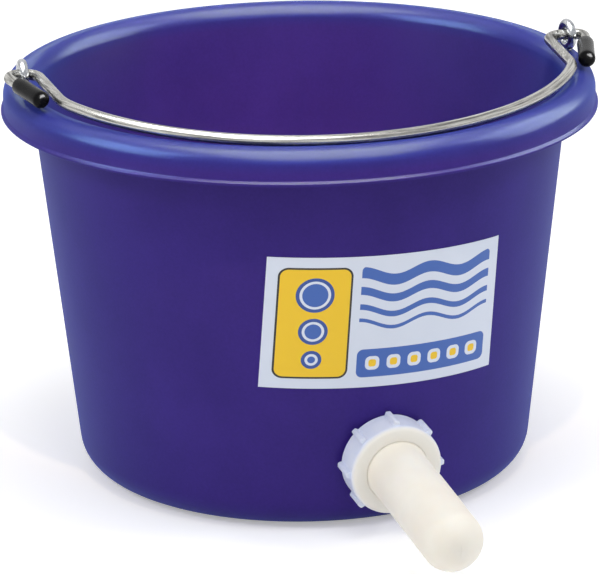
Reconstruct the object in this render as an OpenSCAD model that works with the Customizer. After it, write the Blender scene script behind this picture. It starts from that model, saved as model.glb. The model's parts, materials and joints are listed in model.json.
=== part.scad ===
// Calf feeder bucket: a tapered pail with a rolled rim, a wire bail hung in two eye bolts,
// and a rubber nipple held by a screw collar on a ball check valve through the wall.
// Millimetres. X is the bail's hinge line, -Y is the front, +Z is up, the base stands on Z = 0.

/* [Bucket] */
// Height from the base to the crest of the rim
bucket_h = 193; // [180:1:260]
// Radius of the rim's crest
crest_r = 132.8; // [122:0.2:170]
// Taper of the side wall in degrees
draft = 6.25; // [4:0.05:8]
// Thickness of the side wall
wall = 3; // [2:0.1:3.4]
// Outer radius of the corner between wall and base
base_corner = 16; // [11:0.5:20]
// Thickness of the floor
floor_t = 3; // [2:0.1:5]

/* [Rim] */
// Outer radius of the rolled arch
rim_round = 8; // [7.6:0.1:10]
// Thickness of the outer skirt
skirt_t = 3.2; // [2:0.1:3.6]
// Thickness of the arch at its crest
crest_t = 4.5; // [3:0.1:6]
// Depth of the lip's lower edge under the crest
skirt_drop = 16; // [13.5:0.5:24]
// How far the lip's bead stands out
lip_out = 1.2; // [0.6:0.1:3]
// Height of the lip's bead
lip_h = 1.9; // [1.2:0.1:4]

/* [Eye bolts] */
// Wire diameter of the eye
eye_wire = 4.2; // [4.1:0.1:5]
// Radius of the eye's centre line
eye_r = 5.4; // [5.2:0.1:8]
// Diameter of the threaded shank
shank_d = 3.9; // [2.4:0.1:4]
// Length of the shank under the crest
shank_len = 12; // [10.5:0.5:15]
// Turn of the right eye about its shank in degrees
right_eye_turn = 10; // [0:1:15]
// Nut width across its flats
nut_af = 7; // [5.5:0.1:7]
// Nut height
nut_t = 3.2; // [2.4:0.1:4.5]
// Washer diameter
washer_d = 8; // [7:0.1:8.2]
// Washer thickness
washer_t = 0.8; // [0.4:0.1:1.5]

/* [Bail] */
// Wire diameter of the bail
bail_wire = 5.1; // [3.6:0.1:5.6]
// Distance of the left arm inside the crest, where it leaves its bend
left_arm_inset = 7; // [6.4:0.2:9]
// Distance of the right arm inside the crest, where it leaves its bend
right_arm_inset = 11; // [10:0.2:14]
// Lean of the left arm towards the middle in degrees
left_arm_lean = 6; // [4:0.5:9]
// Lean of the right arm towards the middle in degrees
right_arm_lean = 0; // [0:0.5:4]
// Bow radius under the crest radius
bow_inset = 0.7; // [0:0.1:2]
// How far the bow's centre lies behind the hinge line
bow_back = 5.3; // [4.5:0.1:8]
// Bend radius where the left arm meets the bow
left_kink_bend = 42; // [30:1:48]
// Bend radius where the right arm meets the bow
right_kink_bend = 24; // [14:1:30]
// Bend radius inside the eye
inner_bend = 8; // [6:0.2:9]
// Bend radius outside the eye
outer_bend = 5; // [4.6:0.1:8]
// Inward lean of the hooked ends in degrees
tip_toe = 15; // [6:0.5:17]
// Straight length of the hooked ends
tip_leg = 35; // [30:0.5:42]
// Diameter of the tip caps
tip_d = 8.2; // [7.4:0.1:9]
// Length of the tip caps
tip_len = 26; // [12:0.5:30]

/* [Spout] */
// Turn of the nipple and label from the front in degrees
nipple_turn = 6.8; // [-20:0.1:20]
// Height of the spout's centre on the wall
spout_z = 34.8; // [32:0.1:48]
// Radius of the spout's threaded tube
spout_r = 17.5; // [17:0.1:18.4]
// Length of the tube outside the pad
spout_len = 10.1; // [9.6:0.1:14]
// Radius of the inner flange
flange_r = 21.5; // [20.6:0.1:23]
// Thickness of the inner flange
flange_t = 3; // [2:0.1:4]
// Thickness of the gasket under the flange
gasket_t = 1.5; // [1:0.1:3]
// Radius of the flat pad on the wall
pad_r = 21; // [20.4:0.1:22]
// Valve ball radius
ball_r = 6; // [5:0.1:6.4]
// Travel of the valve ball
ball_travel = 3.5; // [2:0.1:3.9]
// Thickness of the ball retainer
retainer_t = 2; // [1.2:0.1:2.4]

/* [Collar and nipple] */
// Radius of the collar without its ribs
collar_r = 22.2; // [21:0.1:26]
// Height of the collar's ribs
rib_h = 2.1; // [1:0.1:3.5]
// Width of a rib at its foot
rib_w = 3.8; // [2:0.1:6]
// Number of ribs
rib_count = 8; // [4:1:14]
// Thickness of the collar's front lip
lip_t = 2.5; // [1.6:0.1:4]
// Radius of the nipple where it leaves the collar
nipple_r = 14.5; // [13:0.1:15]
// Radius of the nipple before its rounded end
nipple_tip_r = 14.4; // [11:0.1:14.5]
// Length of the nipple in front of the collar
nipple_len = 79; // [55:1:95]
// Wall thickness of the nipple
nipple_wall = 3.2; // [2.2:0.1:4]
// Rounding of the nipple's end
nipple_round = 11; // [7:0.1:12]
// Droop of the soft nipple below the spout's axis in degrees
nipple_droop = 2; // [0:0.5:4]
// Thickness of the nipple's flange
nipple_flange_t = 2.2; // [1.4:0.1:3.2]

/* [Label] */
// Width of the label straight across
label_w = 114; // [60:1:150]
// Height of the label
label_h = 65; // [40:1:68]
// Height of the label's centre
label_z = 104; // [98:1:112]
// Turn of the label in its own plane in degrees
label_tilt = 2; // [-4:0.5:4]
// Thickness of the label
label_t = 0.2; // [0.1:0.05:0.5]

/* [Clearances] */
// Gap of a screw or plain fit on radius
fit_gap = 0.3; // [0.2:0.05:0.5]
// Gap between the resting bail and the rim
rest_gap = 0.3; // [0.2:0.05:0.6]
// Gap of a seated face
seat_gap = 0.1; // [0.05:0.05:0.2]
// Gap of a pressed sleeve on radius
press_gap = 0.02; // [0.01:0.01:0.05]

/* [Hidden] */
$fn = 96;
slope = tan(draft);
slant = sqrt(1 + slope * slope);
arch_z = bucket_h - rim_round;
lip_r = crest_r + rim_round + lip_out;
lip_z = bucket_h - skirt_drop;
channel_z = bucket_h - crest_t;
skirt_in = crest_r + rim_round - skirt_t;
channel_round = 1;
inner_corner = base_corner - wall;

eye_z = bucket_h + seat_gap + eye_wire / 2 + eye_r;
bow_r = crest_r - bow_inset;
bow_reach = bow_r - bow_back;
arch_below = eye_z - arch_z;
arch_dist = sqrt(crest_r * crest_r + arch_below * arch_below);
rest_dist = rim_round + bail_wire / 2 + rest_gap;
rest_cos = (bow_reach * bow_reach + arch_dist * arch_dist - rest_dist * rest_dist)
           / (2 * bow_reach * arch_dist);
bail_drop = atan(arch_below / crest_r) - acos(rest_cos);
hook_x = crest_r + eye_wire / 2 - 0.1;
// Neighbouring runs of wire differ by this much in diameter and reach this far into each other.
wire_slip = 0.04;
wire_tuck = 0.3;
// How far a cap's end stands past the wire's end, and the rounding of that end.
tip_past = 1.6;
tip_round = 2.6;

pad_out = 0.4;
pad_in = wall + 2.6;
tube_end = pad_out + spout_len;
flange_out = -pad_in - gasket_t;
flange_in = flange_out - flange_t;
tube_wall = 2.5;
valve_bore = 8.5;
valve_wall = 2.4;
valve_end = tube_end - 1;
retainer_in = valve_end - 0.6 - retainer_t;
seat_low = 4;
ball_open = retainer_in - seat_gap - ball_r;
ball_shut = ball_open - ball_travel;
seat_in = ball_shut - ball_r * sqrt(2) + seat_low - seat_gap;
seat_out = seat_in + valve_bore - seat_low;
web_out = flange_out + 3;
guide_w = 1.6;
cross_w = 1.8;

collar_in = pad_out + fit_gap;
nipple_in = tube_end + seat_gap;
flange_front = nipple_in + nipple_flange_t;
lip_in = flange_front + seat_gap;
collar_out = lip_in + lip_t;
nipple_end = collar_out + nipple_len;
droop_at = nipple_in + nipple_flange_t / 2;
collar_hole = nipple_r + fit_gap + (collar_out - droop_at) * sin(nipple_droop);
slit_len = 8;
slit_w = 0.4;

function wall_in(z) = crest_r - rim_round * slant + slope * (z - arch_z);
function wall_out(z) = wall_in(z) + wall * slant;
function arc(c, r, a0, a1, n) =
    [for (i = [0:n]) [c[0] + r * cos(a0 + (a1 - a0) * i / n), c[1] + r * sin(a0 + (a1 - a0) * i / n)]];

// Local frame of the spout: origin on the wall's outer face, +Z out along the nipple.
module at_spout() {
    rotate([0, 0, nipple_turn])
        translate([0, -wall_out(spout_z), spout_z])
            rotate([90 + draft, 0, 0])
                children();
}

// Local frame of the bail: the bail's own plane, hinge line on X, bow towards -Y.
module at_bail() {
    translate([0, 0, eye_z])
        rotate([bail_drop, 0, 0])
            children();
}

module at_eye(side) {
    translate([side * crest_r, 0, 0])
        children();
}

module shell_section() {
    outer_c = [wall_out(base_corner) - base_corner * slant, base_corner];
    inner_c = [wall_in(floor_t + inner_corner) - inner_corner * slant, floor_t + inner_corner];
    channel_c = [wall_out(channel_z - channel_round) + channel_round * slant, channel_z - channel_round];
    polygon(concat(
        [[0, 0]],
        arc(outer_c, base_corner, -90, -draft, 12),
        arc(channel_c, channel_round, 180 - draft, 90, 3),
        arc([skirt_in - channel_round, channel_z - channel_round], channel_round, 90, 0, 3),
        [[skirt_in, lip_z], [lip_r - 0.5, lip_z], [lip_r, lip_z + 0.5], [lip_r, lip_z + lip_h - 0.5]],
        [[lip_r - 0.3, lip_z + lip_h], [crest_r + rim_round + 0.2, lip_z + lip_h + 0.4]],
        arc([crest_r, arch_z], rim_round, 0, 180 - draft, 20),
        arc(inner_c, inner_corner, -draft, -90, 12),
        [[0, floor_t]]));
}

module bucket_shell() {
    color([0.16, 0.12, 0.5])
        difference() {
            union() {
                rotate_extrude()
                    shell_section();
                at_spout()
                    translate([0, 0, -pad_in])
                        cylinder(r = pad_r, h = pad_in + pad_out);
            }
            at_spout()
                translate([0, 0, -pad_in - 10])
                    cylinder(r = spout_r + fit_gap, h = pad_in + 20);
            for (side = [-1, 1])
                at_eye(side)
                    translate([0, 0, channel_z - 2])
                        cylinder(d = shank_d + 2 * fit_gap, h = crest_t + 4);
        }
}

module eye_bolt(side, turn) {
    color([0.78, 0.79, 0.8])
        at_eye(side)
            rotate([0, 0, turn])
                union() {
                    translate([0, 0, eye_z])
                        rotate([0, 90, 0])
                            rotate_extrude()
                                translate([eye_r, 0])
                                    circle(d = eye_wire);
                    translate([0, 0, bucket_h - shank_len])
                        cylinder(d = shank_d, h = shank_len + eye_wire / 2);
                }
}

module eye_washer(side) {
    color([0.74, 0.75, 0.77])
        at_eye(side)
            translate([0, 0, channel_z - washer_t])
                difference() {
                    cylinder(d = washer_d, h = washer_t);
                    translate([0, 0, -1])
                        cylinder(d = shank_d + fit_gap, h = washer_t + 2);
                }
}

module eye_nut(side) {
    color([0.74, 0.75, 0.77])
        at_eye(side)
            translate([0, 0, channel_z - washer_t - nut_t])
                difference() {
                    intersection() {
                        cylinder(r = nut_af / sqrt(3), h = nut_t, $fn = 6);
                        cylinder(d = nut_af * 1.12, h = nut_t);
                    }
                    translate([0, 0, -1])
                        cylinder(d = shank_d + 2 * press_gap, h = nut_t + 2);
                }
}

module left_eye_bolt() eye_bolt(-1, 0);
module right_eye_bolt() eye_bolt(1, right_eye_turn);
module left_eye_washer() eye_washer(-1);
module right_eye_washer() eye_washer(1);
module left_eye_nut() eye_nut(-1);
module right_eye_nut() eye_nut(1);

// A bend of the bail's wire in the bail's plane about a centre, from one angle to another.
module wire_bend(c, r, a0, a1, slip) {
    translate([c[0], c[1], 0])
        rotate([0, 0, a0])
            rotate_extrude(angle = a1 - a0)
                translate([r, 0])
                    circle(d = bail_wire - slip * wire_slip);
}

// A straight run of the bail's wire from a point along a heading, tucked into its neighbours.
module wire_run(p, heading, length, slip) {
    translate([p[0], p[1], 0])
        rotate([0, 0, heading])
            rotate([0, 90, 0])
                translate([0, 0, -wire_tuck])
                    cylinder(d = bail_wire - slip * wire_slip, h = length + 2 * wire_tuck);
}

// Where an arm's bend reaches the hinge line, and the turn of the bow at which its kink starts.
function bend_x(inset, lean) = crest_r - inset + inner_bend * cos(lean);
function kink_turn(inset, lean, kink_r) =
    lean + acos((bend_x(inset, lean) * cos(lean) + (inner_bend + bow_back) * sin(lean)
                 - inner_bend - kink_r) / (bow_r - kink_r));

module bail_side(inset, lean, kink_r) {
    tuck_turn = wire_tuck / kink_r * 180 / PI;
    turn = kink_turn(inset, lean, kink_r);
    bend = [bend_x(inset, lean), -inner_bend];
    kink = [0, bow_back] + (bow_r - kink_r) * [cos(turn), -sin(turn)];
    arm_low = kink + kink_r * [cos(lean), -sin(lean)];
    arm_high = bend - inner_bend * [cos(lean), -sin(lean)];
    wire_bend(kink, kink_r, -turn - tuck_turn, -lean, 1);
    wire_run(arm_low, 90 - lean, norm(arm_high - arm_low), 2);
    wire_bend(bend, inner_bend, 90, 180 - lean, 0);
    wire_run([bend[0], 0], 0, hook_x - bend[0], 1);
    wire_bend([hook_x, -outer_bend], outer_bend, -tip_toe, 90, 0);
    at_tip()
        translate([0, 0, -wire_tuck])
            cylinder(d = bail_wire - wire_slip, h = tip_leg + wire_tuck);
}

// Local frame of a hooked end: origin where the last bend stops, +Z along the wire's end.
module at_tip() {
    translate([hook_x + outer_bend * cos(tip_toe), -outer_bend - outer_bend * sin(tip_toe), 0])
        rotate([0, 0, -90 - tip_toe])
            rotate([0, 90, 0])
                children();
}

module bail_wire_bow() {
    color([0.8, 0.8, 0.79])
        at_bail()
            union() {
                wire_bend([0, bow_back], bow_r,
                          kink_turn(left_arm_inset, left_arm_lean, left_kink_bend) - 180,
                          -kink_turn(right_arm_inset, right_arm_lean, right_kink_bend), 0);
                bail_side(right_arm_inset, right_arm_lean, right_kink_bend);
                mirror([1, 0, 0])
                    bail_side(left_arm_inset, left_arm_lean, left_kink_bend);
            }
}

module tip_cap() {
    cap_r = tip_d / 2;
    bore_r = bail_wire / 2 + press_gap;
    start = tip_leg - tip_len + tip_past;
    color([0.03, 0.03, 0.035])
        at_tip()
            translate([0, 0, start])
                rotate_extrude()
                    polygon(concat(
                        [[bore_r, 0], [cap_r - 0.4, 0], [cap_r, 0.4]],
                        arc([cap_r - tip_round, tip_len - tip_round], tip_round, 0, 90, 8),
                        [[0, tip_len], [0, tip_leg - start + seat_gap], [bore_r, tip_leg - start + seat_gap]]));
}

module right_tip_cap() {
    at_bail()
        tip_cap();
}

module left_tip_cap() {
    at_bail()
        mirror([1, 0, 0])
            tip_cap();
}

module spout_body() {
    color([0.9, 0.91, 0.93])
        at_spout()
            union() {
                rotate_extrude()
                    polygon([[seat_low, flange_in], [flange_r - 0.8, flange_in], [flange_r, flange_in + 0.8],
                             [flange_r, flange_out], [spout_r, flange_out], [spout_r, tube_end - 0.6],
                             [spout_r - 0.6, tube_end], [spout_r - tube_wall, tube_end],
                             [spout_r - tube_wall, web_out], [valve_bore + valve_wall, web_out],
                             [valve_bore + valve_wall, valve_end], [valve_bore, valve_end],
                             [valve_bore, seat_out], [seat_low, seat_in]]);
                for (i = [0:3])
                    rotate([0, 0, 45 + 90 * i])
                        translate([ball_r + fit_gap, -guide_w / 2, seat_out + 0.3])
                            cube([valve_bore + 1 - ball_r, guide_w, retainer_in - seat_out - 0.3]);
            }
}

module spout_gasket() {
    color([0.12, 0.12, 0.13])
        at_spout()
            translate([0, 0, flange_out])
                difference() {
                    cylinder(r = flange_r - 0.8, h = gasket_t);
                    translate([0, 0, -1])
                        cylinder(r = spout_r + fit_gap, h = gasket_t + 2);
                }
}

module valve_ball() {
    color([0.93, 0.93, 0.94])
        at_spout()
            translate([0, 0, ball_open])
                sphere(r = ball_r);
}

module ball_retainer() {
    ring_in = valve_bore - 1.6;
    color([0.9, 0.91, 0.93])
        at_spout()
            translate([0, 0, retainer_in])
                union() {
                    difference() {
                        cylinder(r = valve_bore - press_gap, h = retainer_t);
                        translate([0, 0, -1])
                            cylinder(r = ring_in, h = retainer_t + 2);
                    }
                    for (a = [0, 90])
                        rotate([0, 0, a])
                            translate([-ring_in - 0.4, -cross_w / 2, 0])
                                cube([2 * ring_in + 0.8, cross_w, retainer_t]);
                }
}

module collar_nut() {
    edge = 1.2;
    top_w = rib_w * 0.55;
    rib_inset = 0.4;
    color([0.87, 0.89, 0.95])
        at_spout()
            union() {
                rotate_extrude()
                    polygon(concat(
                        [[spout_r + fit_gap, collar_in], [collar_r, collar_in]],
                        arc([collar_r - edge, collar_out - edge], edge, 0, 90, 6),
                        [[collar_hole, collar_out], [collar_hole, lip_in], [spout_r + fit_gap, lip_in]]));
                for (i = [0:rib_count - 1])
                    rotate([0, 0, 90 + 360 * i / rib_count])
                        translate([collar_r - 0.6, 0, collar_in + rib_inset])
                            linear_extrude(collar_out - edge - collar_in - 2 * rib_inset)
                                polygon([[0, -rib_w / 2], [rib_h + 0.6, -top_w / 2],
                                         [rib_h + 0.6, top_w / 2], [0, rib_w / 2]]);
            }
}

// The nipple's body leans down from the middle of its flange.
module at_droop() {
    translate([0, 0, droop_at])
        rotate([nipple_droop, 0, 0])
            translate([0, 0, -droop_at])
                children();
}

module nipple() {
    end_c = [nipple_tip_r - nipple_round, nipple_end - nipple_round];
    bore_r = nipple_r - nipple_wall;
    color([0.93, 0.91, 0.85])
        at_spout()
            difference() {
                union() {
                    translate([0, 0, nipple_in])
                        cylinder(r = spout_r - 0.4, h = nipple_flange_t);
                    at_droop()
                        rotate_extrude()
                            polygon(concat(
                                [[0, droop_at], [nipple_r, droop_at], [nipple_r, collar_out]],
                                arc(end_c, nipple_round, 0, 90, 10), [[0, nipple_end]]));
                }
                at_droop()
                    rotate_extrude()
                        polygon(concat(
                            [[0, nipple_in - 2], [bore_r, nipple_in - 2], [bore_r, collar_out]],
                            arc(end_c, nipple_round - nipple_wall, 0, 90, 8), [[0, nipple_end - nipple_wall]]));
                at_droop()
                    for (a = [0, 90])
                        rotate([0, 0, a])
                            translate([-slit_len / 2, -slit_w / 2, nipple_end - nipple_wall - 2])
                                cube([slit_len, slit_w, nipple_wall + 4]);
            }
}

module front_label() {
    low = label_z - label_h;
    high = label_z + label_h;
    color([0.93, 0.94, 0.95])
        intersection() {
            rotate_extrude()
                polygon([[wall_out(low) + seat_gap, low], [wall_out(low) + seat_gap + label_t, low],
                         [wall_out(high) + seat_gap + label_t, high], [wall_out(high) + seat_gap, high]]);
            rotate([0, 0, nipple_turn])
                translate([0, 0, label_z])
                    rotate([0, label_tilt, 0])
                        translate([-label_w / 2, -wall_out(label_z) - 40, -label_h / 2])
                            cube([label_w, wall_out(label_z), label_h]);
        }
}

bucket_shell();
left_eye_bolt();
right_eye_bolt();
left_eye_washer();
right_eye_washer();
left_eye_nut();
right_eye_nut();
bail_wire_bow();
left_tip_cap();
right_tip_cap();
spout_body();
spout_gasket();
valve_ball();
ball_retainer();
collar_nut();
nipple();
front_label();
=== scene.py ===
import json
from math import acos, atan, atan2, cos, hypot, pi, radians, sin, tan

import bpy
from mathutils import Matrix, Vector


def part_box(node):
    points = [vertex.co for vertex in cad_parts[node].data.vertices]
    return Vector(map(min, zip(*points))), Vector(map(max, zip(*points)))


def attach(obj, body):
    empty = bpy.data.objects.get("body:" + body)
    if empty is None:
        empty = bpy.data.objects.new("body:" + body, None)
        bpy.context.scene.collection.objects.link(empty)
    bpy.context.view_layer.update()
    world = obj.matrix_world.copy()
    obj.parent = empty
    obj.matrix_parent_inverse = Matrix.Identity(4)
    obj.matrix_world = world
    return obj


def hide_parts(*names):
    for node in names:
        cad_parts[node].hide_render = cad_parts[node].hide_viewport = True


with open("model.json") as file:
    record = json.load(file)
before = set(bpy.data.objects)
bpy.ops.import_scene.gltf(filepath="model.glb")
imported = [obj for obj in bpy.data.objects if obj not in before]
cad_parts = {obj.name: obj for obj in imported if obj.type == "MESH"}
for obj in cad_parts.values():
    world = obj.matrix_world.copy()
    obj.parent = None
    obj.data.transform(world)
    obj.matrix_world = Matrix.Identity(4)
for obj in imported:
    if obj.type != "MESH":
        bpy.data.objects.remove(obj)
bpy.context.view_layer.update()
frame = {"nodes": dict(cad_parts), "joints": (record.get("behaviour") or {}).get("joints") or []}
joints = {joint["name"]: joint for joint in frame["joints"]}
print("frame loaded, nodes:", len(frame["nodes"]))

mm = 0.001  # the pieces' sizes are in millimetres and are multiplied by this where they are used
mergeGap = 0.002 * mm  # points closer than this become one
hands = {"right": 1, "left": -1}  # side of the pail and its sign on X

# places that the frame gives
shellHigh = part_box("bucket_shell")[1]
rimTop = shellHigh.z / mm
lipRadius = shellHigh.x / mm
eyeHeight = joints["bail_swing"]["pos_m"][2] / mm
spoutPoint = Vector(joints["collar_spin"]["pos_m"])
spoutZ = Vector(joints["collar_spin"]["axis"]).normalized()
spoutX = Vector((0, 0, 1)).cross(spoutZ).normalized()
spoutY = spoutZ.cross(spoutX)
spoutFrame = Matrix.Translation(spoutPoint) @ Matrix((spoutX, spoutY, spoutZ)).transposed().to_4x4()


def linearColour(hexText):
    parts = [int(hexText[i:i + 2], 16) / 255 for i in (1, 3, 5)]
    return tuple(c / 12.92 if c <= 0.04045 else ((c + 0.055) / 1.055) ** 2.4 for c in parts) + (1.0,)


def pickNothing():
    if bpy.context.mode != "OBJECT":
        bpy.ops.object.mode_set(mode="OBJECT")
    bpy.ops.object.select_all(action="DESELECT")


def pickOnly(piece):
    pickNothing()
    piece.select_set(True)
    bpy.context.view_layer.objects.active = piece


def nameActive(name):
    piece = bpy.context.object
    piece.name = name
    piece.data.name = name
    return piece


def place(piece, matrix):  # moves a piece and leaves its object at the origin
    pickOnly(piece)
    piece.matrix_world = matrix
    bpy.ops.object.transform_apply(location=True, rotation=True, scale=True)


def copyOf(piece, name):  # a copy with its own mesh
    pickOnly(piece)
    bpy.ops.object.duplicate()
    return nameActive(name)


def closeUp(piece):  # merges seams, drops the bare edge of a run along the axis, turns faces outwards
    pickOnly(piece)
    bpy.ops.object.mode_set(mode="EDIT")
    bpy.ops.mesh.select_all(action="SELECT")
    bpy.ops.mesh.remove_doubles(threshold=mergeGap)
    bpy.ops.mesh.delete_loose()
    bpy.ops.mesh.select_all(action="SELECT")
    bpy.ops.mesh.normals_make_consistent(inside=False)
    bpy.ops.object.mode_set(mode="OBJECT")


def arcRun(centre, radius, startDeg, endDeg, steps):
    turns = [radians(startDeg + (endDeg - startDeg) * i / steps) for i in range(steps + 1)]
    return [(centre[0] + radius * cos(t), centre[1] + radius * sin(t)) for t in turns]


def drawProfile(name, points):  # points are (radius, height) in mm, drawn in the XZ plane one by one
    pickNothing()
    bpy.ops.mesh.primitive_plane_add(size=mm)
    piece = nameActive(name)
    bpy.ops.object.mode_set(mode="EDIT")
    bpy.ops.mesh.select_mode(type="VERT")
    bpy.ops.mesh.select_all(action="SELECT")
    bpy.ops.mesh.merge(type="CENTER")
    bpy.ops.transform.translate(value=(points[0][0] * mm, 0, points[0][1] * mm))
    for last, here in zip(points, points[1:]):
        step = ((here[0] - last[0]) * mm, 0, (here[1] - last[1]) * mm)
        bpy.ops.mesh.extrude_vertices_move(TRANSFORM_OT_translate={"value": step})
    return piece


def spinProfile(name, points, steps):
    piece = drawProfile(name, points)
    bpy.ops.mesh.select_all(action="SELECT")
    bpy.ops.mesh.spin(steps=steps, angle=2 * pi, center=(0, 0, 0), axis=(0, 0, 1))
    closeUp(piece)
    return piece


def rod(name, radius, low, high, sides):  # a plain rod on the Z axis
    pickNothing()
    bpy.ops.mesh.primitive_cylinder_add(vertices=sides, radius=radius * mm, depth=(high - low) * mm)
    piece = nameActive(name)
    place(piece, Matrix.Translation((0, 0, (high + low) / 2 * mm)))
    return piece


def block(name, size, middle):  # a plain block, square to the axes
    pickNothing()
    bpy.ops.mesh.primitive_cube_add(size=mm)
    piece = nameActive(name)
    place(piece, Matrix.Translation(Vector(middle) * mm) @ Matrix.Diagonal((*size, 1)))
    return piece


def applyModifier(piece, kind, settings):
    pickOnly(piece)
    modifier = piece.modifiers.new(kind.title(), kind)
    for key, value in settings.items():
        setattr(modifier, key, value)
    bpy.ops.object.modifier_apply(modifier=modifier.name)


def cutOrJoin(piece, tool, operation):
    applyModifier(piece, "BOOLEAN", {"object": tool, "operation": operation, "solver": "EXACT"})
    bpy.data.objects.remove(tool, do_unlink=True)


def joinRound(piece, model, count, startDeg):  # copies of a model, set round the Z axis and joined on
    for i in range(count):
        copy = copyOf(model, "copy")
        place(copy, Matrix.Rotation(radians(startDeg + 360 * i / count), 4, "Z"))
        cutOrJoin(piece, copy, "UNION")
    bpy.data.objects.remove(model, do_unlink=True)


def smooth(piece, angleDeg):
    pickOnly(piece)
    bpy.ops.object.shade_smooth_by_angle(angle=radians(angleDeg))


def dress(piece, body, material, nodes):
    piece.data.materials.clear()
    piece.data.materials.append(material)
    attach(piece, body)
    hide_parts(*nodes)


def setSockets(tree, node, values):  # an output is linked, anything else is set as it is
    for socket, value in values.items():
        if isinstance(value, bpy.types.NodeSocket):
            tree.links.new(value, node.inputs[socket])
        else:
            node.inputs[socket].default_value = value


def addNode(tree, kind, settings=None, inputs=None, stops=()):  # stops are a ramp's places and colours
    node = tree.nodes.new(kind)
    for key, value in (settings or {}).items():
        setattr(node, key, value)
    for i, (position, hexText) in enumerate(stops):
        node.color_ramp.elements[i].position = position
        node.color_ramp.elements[i].color = linearColour(hexText)
    setSockets(tree, node, inputs or {})
    return node


def newMaterial(name):
    material = bpy.data.materials.new(name)
    material.use_nodes = True
    tree = material.node_tree
    return material, tree, tree.nodes["Principled BSDF"]


def perMetre(sizeMm):  # texture scale that gives one feature every sizeMm on Object coordinates
    return 1 / (sizeMm * mm)


# Linear low-density polyethylene, injection moulded and dyed through: a satin skin with a faint
# orange peel from the mould, cloudy dye, a painted blue sheen on the rim's thick roll, and a soft bloom
# where it turns away. A coat carries the gloss. The scuffed roughness is for viewers that draw no coat.
def mouldedPolyethylene():
    look = {"deep": "#311c6f", "clear": "#38227b", "rimSheenDeep": "#262479", "rimSheenClear": "#2b2a84",
            "rimSheenFrom": 11.0, "rimSheenTo": 4.0,  # the rim's painted sheen colour starts and is full this far under the crest
            "cloudMm": 38, "peelMm": 1.3, "scuffMm": 5, "glossLow": 0.28, "glossHigh": 0.38,
            "shine": 0.2, "bloom": 0.34, "bloomTint": "#6896ff"}
    material, tree, shader = newMaterial("mouldedBluePolyethylene")
    spot = addNode(tree, "ShaderNodeTexCoord").outputs["Object"]
    cloud = addNode(tree, "ShaderNodeTexNoise", None,
                    {"Vector": spot, "Scale": perMetre(look["cloudMm"]), "Detail": 3.0, "Roughness": 0.55})
    grain = addNode(tree, "ShaderNodeTexNoise", None,
                    {"Vector": spot, "Scale": perMetre(look["peelMm"]), "Detail": 2.0})
    scuff = addNode(tree, "ShaderNodeTexNoise", None,
                    {"Vector": spot, "Scale": perMetre(look["scuffMm"]), "Detail": 6.0, "Roughness": 0.7})
    speckle = addNode(tree, "ShaderNodeMath", {"operation": "MULTIPLY_ADD"},
                      {0: grain.outputs["Fac"], 1: 0.6, 2: cloud.outputs["Fac"]})
    dye = addNode(tree, "ShaderNodeValToRGB", None, {"Fac": speckle.outputs[0]},
                  [(0.5, look["deep"]), (1.0, look["clear"])])
    # painted sheen: the rim's roll gets a bluer colour that stands for its blue sheen where it is lit
    rimSheenColour = addNode(tree, "ShaderNodeValToRGB", None, {"Fac": speckle.outputs[0]},
                     [(0.5, look["rimSheenDeep"]), (1.0, look["rimSheenClear"])])
    axes = addNode(tree, "ShaderNodeSeparateXYZ", None, {"Vector": spot})
    rimSheenMask = addNode(tree, "ShaderNodeMapRange", None,
                    {"Value": axes.outputs["Z"], "From Min": (rimTop - look["rimSheenFrom"]) * mm,
                     "From Max": (rimTop - look["rimSheenTo"]) * mm})
    tint = addNode(tree, "ShaderNodeMix", {"data_type": "RGBA"},
                   {"Factor": rimSheenMask.outputs["Result"], "A": dye.outputs["Color"],
                    "B": rimSheenColour.outputs["Color"]})
    gloss = addNode(tree, "ShaderNodeMapRange", None,
                    {"Value": scuff.outputs["Fac"], "From Min": 0.3, "From Max": 0.75,
                     "To Min": look["glossLow"], "To Max": look["glossHigh"]})
    peel = addNode(tree, "ShaderNodeBump", None,
                   {"Strength": 0.12, "Distance": 0.06 * mm, "Height": grain.outputs["Fac"]})
    setSockets(tree, shader, {
        "Base Color": tint.outputs["Result"], "Roughness": gloss.outputs["Result"],
        "Normal": peel.outputs["Normal"], "Coat Normal": peel.outputs["Normal"],
        "IOR": 1.51, "Specular IOR Level": 0.0, "Coat Weight": look["shine"], "Coat Roughness": 0.27,
        "Sheen Weight": look["bloom"], "Sheen Roughness": 0.5,
        "Sheen Tint": linearColour(look["bloomTint"])})
    return material


# Steel with bright zinc plate: a clean grey metal with a soft gloss, faint spangle and small dull
# patches.
def brightZinc():
    look = {"dull": "#8e9196", "bright": "#cfd1d4", "patchMm": 3, "spangleMm": 0.6,
            "roughLow": 0.16, "roughHigh": 0.26}
    material, tree, shader = newMaterial("brightZincBolt")
    spot = addNode(tree, "ShaderNodeTexCoord").outputs["Object"]
    patch = addNode(tree, "ShaderNodeTexNoise", None,
                    {"Vector": spot, "Scale": perMetre(look["patchMm"]), "Detail": 4.0, "Roughness": 0.6})
    spangle = addNode(tree, "ShaderNodeTexVoronoi", {"feature": "F1"},
                      {"Vector": spot, "Scale": perMetre(look["spangleMm"])})
    tint = addNode(tree, "ShaderNodeValToRGB", None, {"Fac": patch.outputs["Fac"]},
                   [(0.35, look["dull"]), (0.7, look["bright"])])
    gloss = addNode(tree, "ShaderNodeMapRange", None,
                    {"Value": patch.outputs["Fac"], "From Min": 0.3, "From Max": 0.7,
                     "To Min": look["roughHigh"], "To Max": look["roughLow"]})
    relief = addNode(tree, "ShaderNodeBump", None,
                     {"Strength": 0.08, "Distance": 0.03 * mm, "Height": spangle.outputs["Distance"]})
    setSockets(tree, shader, {"Base Color": tint.outputs["Color"], "Roughness": gloss.outputs["Result"],
                              "Normal": relief.outputs["Normal"], "Metallic": 1.0})
    return material


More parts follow.
